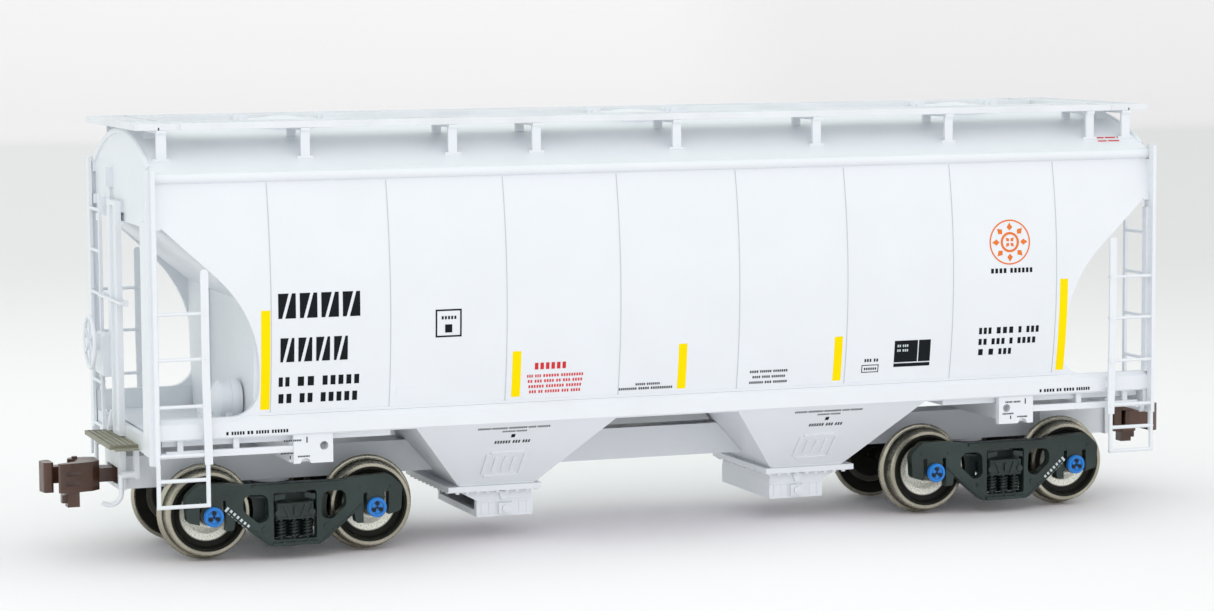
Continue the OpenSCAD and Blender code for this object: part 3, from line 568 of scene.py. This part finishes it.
# ---------------------------------------------------------------- pierced walks and platform
def grating(shape, x0, x1, y0, y1, z0, z1, nx, ny, bar):
    """A plate pierced by nx by ny slots with rounded-off corners."""
    px, py = (x1 - x0) / nx, (y1 - y0) / ny
    for i in range(nx):
        for j in range(ny):
            a, b = x0 + i * px, x0 + (i + 1) * px
            c, d = y0 + j * py, y0 + (j + 1) * py
            h = bar / 2
            k = min(px, py) * 0.14
            mx, my = (a + b) / 2, (c + d) / 2
            left, right = a + h + k, b - h - k
            front, rear = c + h + k * 0.4, d - h - k * 0.4
            outer = [(mx, c), (b, c), (b, my), (b, d), (mx, d), (a, d), (a, my), (a, c)]
            inner = [(mx, c + h), (right, front), (b - h, my), (right, rear),
                     (mx, d - h), (left, rear), (a + h, my), (left, front)]
            v = [(x, y, z) for z in (z0, z1) for x, y in outer + inner]
            f = []
            for m in range(8):
                n = (m + 1) % 8
                f.append((16 + m, 16 + n, 24 + n, 24 + m))
                f.append((m, 8 + m, 8 + n, n))
                f.append((8 + m, 24 + m, 24 + n, 8 + n))
            if j == 0:
                f += [(7, 0, 16, 23), (0, 1, 17, 16)]
            if j == ny - 1:
                f += [(3, 4, 20, 19), (4, 5, 21, 20)]
            if i == 0:
                f += [(5, 6, 22, 21), (6, 7, 23, 22)]
            if i == nx - 1:
                f += [(1, 2, 18, 17), (2, 3, 19, 18)]
            shape.add(v, f)


# Inner and outer edges, end and top of the running boards
WALK_IN, WALK_OUT, WALK_END, WALK_Z = 8.0, 14.9, 62.0, 53.5


def welded(obj):
    """Joins the cells of a grating where they meet."""
    mod = obj.modifiers.new("join", "WELD")
    mod.merge_threshold = 0.000002
    return obj


def running_boards():
    top, low, mesh_z = WALK_Z, WALK_Z - 0.8, (WALK_Z - 0.45, WALK_Z - 0.15)
    rib_z = (WALK_Z - 0.75, WALK_Z - 0.1)
    for s, side in ((-1, "near"), (1, "far")):
        deck = Shape()
        lo, hi = sorted((s * (WALK_IN + 0.25), s * (WALK_OUT - 0.25)))
        grating(deck, -WALK_END, WALK_END, lo, hi, *mesh_z, 104, 7, 0.3)
        welded(deck.piece(f"walk_grating_{side}", "grate", slot="body_paint",
                          replaces=[f"walk_{side}"]))
        edge = Shape()
        for y0 in (WALK_IN, WALK_OUT - 0.25):
            a, b = sorted((s * y0, s * (y0 + 0.25)))
            edge.box((-WALK_END, a, low), (WALK_END, b, top))
        for y0 in (10.15, 12.45):
            a, b = sorted((s * y0, s * (y0 + 0.3)))
            edge.box((-WALK_END, a, low), (WALK_END, b, mesh_z[0] + 0.01))
        for k in range(-4, 5):
            edge.box((k * 14.7 - 0.15, lo, rib_z[0]), (k * 14.7 + 0.15, hi, rib_z[1]))
        edge.piece(f"walk_frame_{side}", "grate", slot="body_paint", bevel=0.04)
    for sx, end in ((-1, "b"), (1, "a")):
        deck = Shape()
        lo, hi = sorted((sx * 62.2, sx * 67.15))
        grating(deck, lo, hi, -14.7, 14.7, *mesh_z, 4, 26, 0.3)
        welded(deck.piece(f"end_walk_grating_{end}", "grate", slot="body_paint",
                          replaces=[f"end_walk_{end}"]))
        edge = Shape()
        for x0 in (62.02, 64.45, 67.15):
            a, b = sorted((sx * x0, sx * (x0 + 0.25)))
            edge.box((a, -14.9, low), (b, 14.9, top if x0 != 64.45 else mesh_z[0] + 0.01))
        a, b = sorted((sx * 62.27, sx * 67.15))
        for y0 in (-14.9, 14.65):
            edge.box((a, y0, low), (b, y0 + 0.25, top))
        for y0 in (-7.6, 0, 7.6):
            edge.box((a, y0 - 0.15, rib_z[0]), (b, y0 + 0.15, rib_z[1]))
        edge.piece(f"end_walk_frame_{end}", "grate", slot="body_paint", bevel=0.04)


def platform():
    deck = Shape()
    grating(deck, -69.8, -66.5, -8.3, 6.9, 14.36, 14.6, 5, 16, 0.28)
    welded(deck.piece("platform_grating", "platform", slot="etched_brass", replaces=["brake_platform"]))
    edge = Shape()
    for x in (-69.9, -66.6):
        edge.box((x, -8.4, 14.12), (x + 0.2, 7.0, 14.64))
    for y in (-8.4, 6.8):
        edge.box((-69.7, y, 14.12), (-66.6, y + 0.2, 14.64))
    for y in (-5.2, -0.6, 4.0):
        edge.box((-69.7, y, 14.12), (-66.6, y + 0.2, 14.37))
    edge.box((-69.5, -10.2, 14.12), (-66.6, -8.4, 14.3))
    edge.piece("platform_frame", "platform", slot="etched_brass", bevel=0.03)


running_boards()
platform()


# ---------------------------------------------------------------- trucks
# Distances from the car's centre line: spring axis, bolster end, side frame face, bearing cap face
COIL_Y, BOLSTER_Y, FRAME_Y, CAP_Y = 11.7, 12.3, 12.4, 12.9
COIL_PITCH, COIL_LOW, COIL_HIGH = 1.65, 2.56, 5.0
BOLT_CIRCLE = 0.5
# How a side frame's sloping member runs, and its square, in X and Z
SLOPE, ACROSS = (-0.74, -0.68), (0.68, -0.74)


def coil(shape, cx, cy, z0, z1, radius, wire, rounds):
    """A wound spring of round wire."""
    steps = 14
    count = int(rounds * steps)
    pts = []
    for i in range(count + 1):
        a = 2 * math.pi * i / steps
        z = z0 + wire + (z1 - z0 - 2 * wire) * i / count
        pts.append((cx + radius * math.cos(a), cy + radius * math.sin(a), z))
    shape.tube(pts, wire, 6)


def truck_detail(end, sx):
    body = f"truck_{end}"
    cx = sx * TRUCK_X
    springs = Shape()
    for s in (-1, 1):
        for i in (-1, 0, 1):
            x = cx + i * COIL_PITCH
            coil(springs, x, s * COIL_Y, COIL_LOW, COIL_HIGH, 0.52, 0.13, 5.5)
            springs.disc((x, s * COIL_Y, COIL_LOW), (0, 0, 1), 0.3, 2.4, 10)
    springs.piece(f"coil_springs_{end}", "spring", body, "truck_plastic", True, replaces=[f"springs_{end}"])
    # A dark sheet behind the springs: painted shade where the middle of the truck lies in shadow
    gap = Shape()
    for s in (-1, 1):
        gap.box((cx - 2.6, s * 10.72, 2.62), (cx + 2.6, s * 10.78, COIL_HIGH))
    gap.piece(f"spring_shadow_{end}", "shade_sheet", body, "truck_plastic")
    extra = Shape()
    for s in (-1, 1):
        def slab(pts, depth=0.16):
            loop = [(cx + a, s * BOLSTER_Y, b) for a, b in pts]
            if s > 0:
                loop.reverse()
            extra.prism(loop, (0, s * depth, 0))

        def bar(x0, x1, z0, z1, depth=0.16):
            slab([(x0, z0), (x1, z0), (x1, z1), (x0, z1)], depth)

        # Bolster end: a frame with three ribs that spread upwards
        bar(-2.2, 2.2, 6.75, 6.98)
        bar(-2.2, 2.2, 5.02, 5.22)
        for x in (-2.2, 2.0):
            bar(x, x + 0.2, 5.22, 6.75)
        for x0, x1 in ((-0.75, -1.35), (0.75, 1.35)):
            slab([(x0 - 0.14, 5.22), (x0 + 0.14, 5.22), (x1 + 0.16, 6.75), (x1 - 0.16, 6.75)])
        bar(-0.16, 0.16, 5.5, 6.5, 0.3)
        # Wedge ends above the bolster
        for k in (-1, 1):
            a, b = sorted((k * 1.2, k * 2.55))
            heights = (7.6, 7.3, 8.0, 8.2) if k > 0 else (7.3, 7.6, 8.2, 8.0)
            slab(list(zip((a, b, b, a), heights)), 0.1)
        # Rivets and spring seat lugs of the side frame
        face = s * FRAME_Y
        for x in (-3.9, 3.9):
            extra.disc((cx + x, face, 3.9), (0, s, 0), 0.32, 0.14, 10)
            extra.disc((cx + x * 1.25, face, 3.55), (0, s, 0), 0.2, 0.12, 8)
        for x in (-1.5, 0, 1.5):
            extra.box((cx + x - 0.22, face - 0.02 * s, 1.86), (cx + x + 0.22, face + s * 0.34, 2.3))
        for k in (-1, 1):
            # Bearing adapter over each journal and the retaining key
            ax = k * HALF_BASE
            slab([(ax - 1.25, 7.05), (ax + 1.25, 7.05), (ax + 0.75, 7.7), (ax - 0.75, 7.7)], 0.12)
            bar(ax - 1.55, ax + 1.55, 7.7, 7.92, 0.08)
            for x in (-1.9, 1.9):
                extra.disc((cx + ax + x, face, 8.35), (0, s, 0), 0.17, 0.1, 8)
            # Flange along the sloping lower member
            line = [(k * 3.3, 2.0), (k * 7.0, 5.05), (k * 8.4, 6.4)]
            for (xa, za), (xb, zb) in zip(line, line[1:]):
                extra.tube([(cx + xa, face + s * 0.02, za), (cx + xb, face + s * 0.02, zb)], 0.13, 6)
    extra.piece(f"truck_castings_{end}", "truck", body, "truck_plastic", bevel=0.03)
    # A row of plain dashes on each sloping member, towards the car's end
    data = Shape()
    for s in (-1, 1):
        for k in range(7):
            a, b = 8.5 - 0.42 * k, 6.65 - 0.38 * k
            loop = []
            for p, q in ((-0.15, -0.32), (0.15, -0.32), (0.15, 0.32), (-0.15, 0.32)):
                x, z = (at + SLOPE[i] * p + ACROSS[i] * q for i, at in enumerate((a, b)))
                loop.append((cx + sx * x, s * FRAME_Y, z))
            if s * sx > 0:
                loop.reverse()
            data.prism(loop, (0, s * 0.03, 0))
    data.piece(f"truck_data_{end}", "pale", body, "truck_plastic")


def bearing_bolts():
    for key, x in AXLES.items():
        bolts = Shape()
        for s in (-1, 1):
            for a in (90, 210, 330):
                q = math.radians(a)
                centre = (x + BOLT_CIRCLE * math.cos(q), s * CAP_Y, AXLE_Z + BOLT_CIRCLE * math.sin(q))
                bolts.disc(centre, (0, s, 0), 0.3, 0.2, 6)
            bolts.disc((x, s * CAP_Y, AXLE_Z), (0, s, 0), 0.16, 0.08, 12)
        bolts.piece(f"cap_bolts_{key}", "bolt", f"wheels_{key}", "cap_blue", bevel=0.03)


for end, sx in (("b", -1), ("a", 1)):
    truck_detail(end, sx)
bearing_bolts()


# ---------------------------------------------------------------- hopper bays and outlets
# Middle of a bay, its flange and its top edge, its half widths there, and its outlet's faces
BAY_X, BAY_Z, DECK = 21.1, 7.2, 16.0
BAY_Y_TOP, BAY_Y_BOTTOM = 17.3, 8.8
OUTLET_X, OUTLET_Y, RACK_Y = 19.9, 8.2, 8.7


def bay_side_y(z):
    """Half width of a bay's sloping side at height z."""
    return BAY_Y_BOTTOM + (BAY_Y_TOP - BAY_Y_BOTTOM) * (z - BAY_Z) / (DECK - BAY_Z)


def on_bay(shape, s, bay):
    """Lays a flat block on the sloping side of a bay."""
    tilt = Vector((0, DECK - BAY_Z, -(BAY_Y_TOP - BAY_Y_BOTTOM))).normalized()

    def place(x0, x1, z0, z1, proud=0.02):
        flip = -1 if s > 0 else 1
        a, b = sorted((flip * x0, flip * x1))
        v = []
        for z in (z0, z1):
            for x in (a, b):
                for d in (proud, -0.03):
                    v.append((bay + x, s * (bay_side_y(z) + tilt.y * d), z + tilt.z * d))
        f = [(0, 4, 6, 2), (1, 3, 7, 5), (0, 1, 5, 4), (2, 6, 7, 3), (0, 2, 3, 1), (4, 5, 7, 6)]
        if s < 0:
            f = [tuple(reversed(q)) for q in f]
        shape.add(v, f)

    return place


def bay_detail():
    ink = Shape()
    relief = Shape()
    for s in (-1, 1):
        for bay in (-BAY_X, BAY_X):
            place = on_bay(ink, s, bay)
            greek(place, -4.9, 4.5, 15.2, 15.5, (5, 6, 7, 3, 5))
            greek(place, -1.6, 1.6, 14.75, 15.0, (5, 4))
            place(-0.25, 0.25, 14.0, 14.45)
            greek(place, -2.2, 2.5, 13.15, 13.6, (4, 2, 2))
            # A raised rounded frame with three plain ribs
            lift = on_bay(relief, s, bay)
            for z0, z1 in ((8.4, 8.8), (11.7, 12.1)):
                lift(-2.2, 2.2, z0, z1, 0.2)
            for x0, x1 in ((-2.7, -2.2), (2.2, 2.7)):
                lift(x0, x1, 8.8, 11.7, 0.2)
            for x in (-1.2, 0, 1.2):
                lift(x - 0.25, x + 0.25, 9.3, 11.2, 0.18)
    ink.piece("bay_markings", "black", slot="body_paint")
    relief.piece("bay_emblems", "body", slot="body_paint", bevel=0.05)


def outlet_detail():
    for sx, end in ((-1, "b"), (1, "a")):
        d = Shape()
        ox = OUTLET_X
        for s in (-1, 1):
            # Latch rib down the neck, gate handle boss and hinge pin
            neck = s * OUTLET_Y
            rib = [(ox + x, neck, z) for x, z in ((-0.55, 6.3), (-0.2, 5.2), (0.5, 5.2), (0.85, 6.3))]
            d.prism(rib[::s], (0, s * 0.3, 0))
            d.disc((ox, s * RACK_Y, 4.1), (0, s, 0), 0.5, 0.35, 12)
            d.disc((ox, s * (RACK_Y + 0.3), 4.1), (0, s, 0), 0.22, 0.15, 8)
            for z in (3.1, 4.95):
                d.box((ox - 3.6, neck, z), (ox + 3.6, neck + s * 0.12, z + 0.25))
            for i in (-3, -2, -1, 1, 2, 3):
                d.box((ox + i - 0.12, neck, 3.35), (ox + i + 0.12, neck + s * 0.1, 4.95))
            # Stiffening bead where the bay meets its flange
            bead_y, bead_z = s * (BAY_Y_BOTTOM + 0.12), BAY_Z + 0.12
            d.tube([(BAY_X - 4.9, bead_y, bead_z), (BAY_X + 4.9, bead_y, bead_z)], 0.14, 6)
        if sx < 0:
            d = d.mirrored()
        d.piece(f"outlet_detail_{end}", "body", slot="body_paint", bevel=0.03)


bay_detail()
outlet_detail()


# ---------------------------------------------------------------- body details
# Faces of the side sill and of the bolster's pull plate, where their stencils lie
SILL_Y, PLATE_Y = 17.72, 17.43


def body_detail():
    trim = Shape()
    for s in (-1, 1):
        # Lip along the bottom of each side sheet and rivet-sized clips below the eave
        side_patch(trim, s, -53.4, 53.4, 18.52, 18.85, 0.1, 0.1)
        for i in range(-10, 11):
            x = i * 6.1
            trim.box((x - 0.2, s * 17.0, 46.55), (x + 0.2, s * 17.12, 46.8))
        # A blank card holder
        side_patch(trim, s, -36.6, -34.4, 19.4, 21.1, 0.07, 0.05)
    trim.piece("body_trim", "body", slot="body_paint", smooth=True)
    ink = Shape()
    for s in (-1, 1):
        def sill(x0, x1, z0, z1):
            flip = -1 if s > 0 else 1
            a, b = sorted((flip * x0, flip * x1))
            ink.box((a, s * SILL_Y, z0), (b, s * (SILL_Y + 0.06), z1))

        for x0, x1 in ((-57.8, -50.1), (50.2, 57.6)):
            greek(sill, x0, x1, 16.4, 16.85, (1, 4, 2, 4, 5))
        for sx in (-1, 1):
            def plate(x0, x1, z0, z1):
                ink.box((sx * TRUCK_X + x0, s * PLATE_Y, z0), (sx * TRUCK_X + x1, s * (PLATE_Y + 0.05), z1))

            greek(plate, -2.6, -0.4, 15.2, 15.45, (4, 4))
            plate(0.2, 0.34, 15.0, 15.7)
            greek(plate, -3.0, -1.4, 13.7, 13.92, (3,))
            plate(-1.9, -1.76, 13.1, 13.55)
            greek(plate, -0.9, 0.6, 13.25, 13.47, (3,))
    ink.piece("sill_markings", "black", slot="body_paint")
    red = Shape()
    for s in (-1, 1):
        for k, groups in enumerate(((4, 5, 3), (3, 4))):
            y = s * (14.3 + k * 0.8)
            for a, b in dashes(60.0, 64.0 - k, groups, 0.3):
                x0, x1 = (a, b) if s < 0 else (-b, -a)
                z = roof_z(y)
                red.box((x0, y - 0.12, z - 0.05), (x1, y + 0.12, z + 0.09))
    red.piece("roof_markings", "red", slot="body_paint")


body_detail()


# ---------------------------------------------------------------- studio
def studio():
    """Paper floor that sweeps up behind, an even white world and four soft lamps."""
    floor = Shape()
    pts = []
    for i in range(25):
        a = math.pi / 2 * i / 24
        pts.append((1500 + 900 * math.sin(a), 900 - 900 * math.cos(a)))
    profile = [(-3000.0, 0.0), (-600.0, 0.0), (0.0, 0.0)] + pts + [(2400.0, 3200.0)]
    v = []
    for y, z in profile:
        v += [(-4500.0, y, z), (4500.0, y, z)]
    f = [(2 * i, 2 * i + 1, 2 * i + 3, 2 * i + 2) for i in range(len(profile) - 1)]
    mesh = bpy.data.meshes.new("studio_floor")
    mesh.from_pydata([(x * MM, y * MM, z * MM) for x, y, z in v], [], f)
    for p in mesh.polygons:
        p.use_smooth = True
    obj = bpy.data.objects.new("studio_floor", mesh)
    mesh.materials.append(clear_floor())
    bpy.context.scene.collection.objects.link(obj)
    # The sweep faces the camera
    obj.rotation_euler = (0, 0, -0.348)

    world = bpy.data.worlds.new("studio_world")
    bpy.context.scene.world = world
    world.use_nodes = True
    back = world.node_tree.nodes["Background"]
    back.inputs["Color"].default_value = (0.86, 0.935, 0.895, 1)
    back.inputs["Strength"].default_value = 1.17

    def softbox(name, at, aim, size, power, colour):
        data = bpy.data.lights.new(name, "AREA")
        data.shape = "RECTANGLE"
        data.size, data.size_y = size
        data.energy = power
        data.color = colour
        lamp = bpy.data.objects.new(name, data)
        lamp.location = at
        lamp.rotation_euler = (Vector(aim) - Vector(at)).to_track_quat("-Z", "Y").to_euler()
        bpy.context.scene.collection.objects.link(lamp)

    softbox("key", (-0.3, -0.85, 0.75), (0, 0, 0.02), (0.8, 0.6), 1.1, (1.0, 0.66, 0.90))
    softbox("fill", (0.7, -0.75, 0.35), (0, 0, 0.02), (0.8, 0.5), 0.5, (1.0, 0.66, 0.90))
    softbox("front", (-0.25, -1.0, 0.16), (0, 0, 0.03), (1.2, 0.5), 0.35, (1.0, 0.66, 0.90))
    softbox("back", (0.55, 1.0, 0.5), (0.8, 2.4, 0.55), (1.6, 0.8), 1.6, (1.0, 0.78, 0.92))


studio()
bpy.context.scene.view_settings.view_transform = "Standard"
